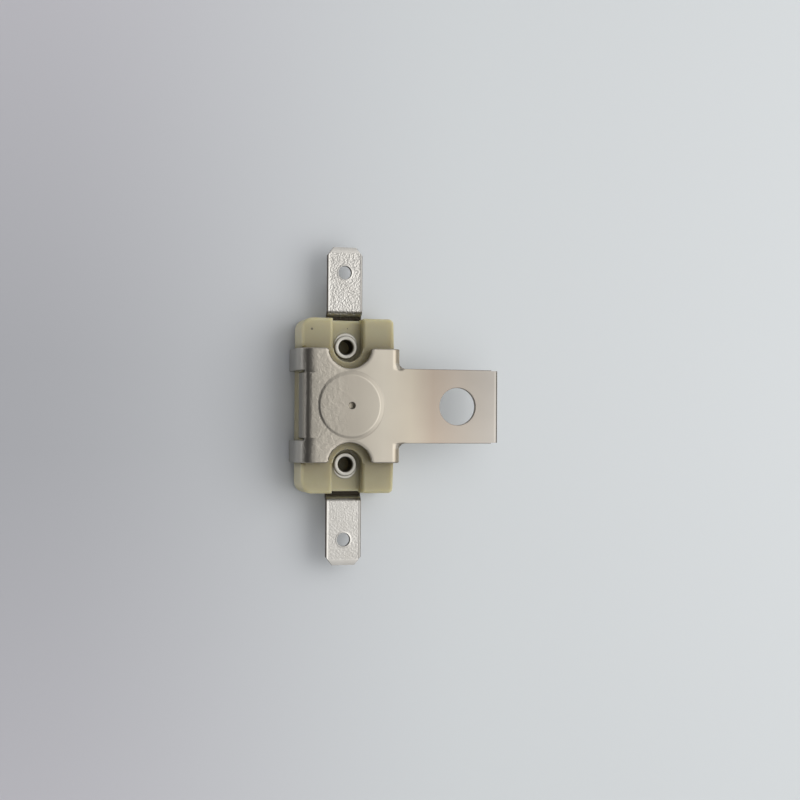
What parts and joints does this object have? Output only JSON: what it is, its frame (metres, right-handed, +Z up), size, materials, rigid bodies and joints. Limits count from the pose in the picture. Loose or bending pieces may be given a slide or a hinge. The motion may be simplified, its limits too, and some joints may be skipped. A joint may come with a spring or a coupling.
{
  "type": "thermal fuse",
  "caption": "Ceramic thermal cut-out with a folded plated-steel bracket, a drilled mounting ear and push-on tabs at both ends; a snap disc under the boss opens its contacts.",
  "frame": {"origin": "on the axis of the snap disc, in the plane of the folded lugs on which the part lies", "axes": "+Z up through the sensing boss, +X along the mounting ear, +Y along the tab that carries the contact spring"},
  "size_m": [0.0361, 0.0562, 0.0099],
  "materials": {
    "steatite": "unglazed, pressed and fired",
    "plated_steel": "satin nickel plate",
    "tinned_brass": "bright tin plate with a fine grain",
    "plated_brass": "bright nickel plate",
    "bimetal": "rolled strip",
    "pin_ceramic": "ground",
    "spring_bronze": "rolled strip",
    "contact_silver": "polished"
  },
  "bodies": {
    "housing": {"ceramic_body": "steatite", "base_cover": "steatite", "mounting_bracket": "plated_steel", "spring_terminal": "tinned_brass", "contact_terminal": "tinned_brass", "spring_eyelet": "plated_brass", "contact_eyelet": "plated_brass", "bimetal_disc": "bimetal", "contact_spring": "spring_bronze", "fixed_contact": "contact_silver"},
    "pin": {"push_pin": "pin_ceramic"},
    "contact": {"moving_contact": "contact_silver"}
  },
  "joints": [
    {"name": "pin_travel", "type": "slide", "parent": "housing", "child": "pin", "axis": [0, 0, -1], "range_m": [0, 0.0003], "stiffness_N_per_m": 300, "springref_m": -0.0005, "deforming": ["bimetal_disc", "contact_spring"]},
    {"name": "contact_travel", "type": "slide", "parent": "housing", "child": "contact", "axis": [0, 0, -1], "range_m": [0, 0.0005]}
  ],
  "couplings": [
    {"joint": "contact_travel", "follows": "pin_travel", "ratio": 1.638}
  ]
}
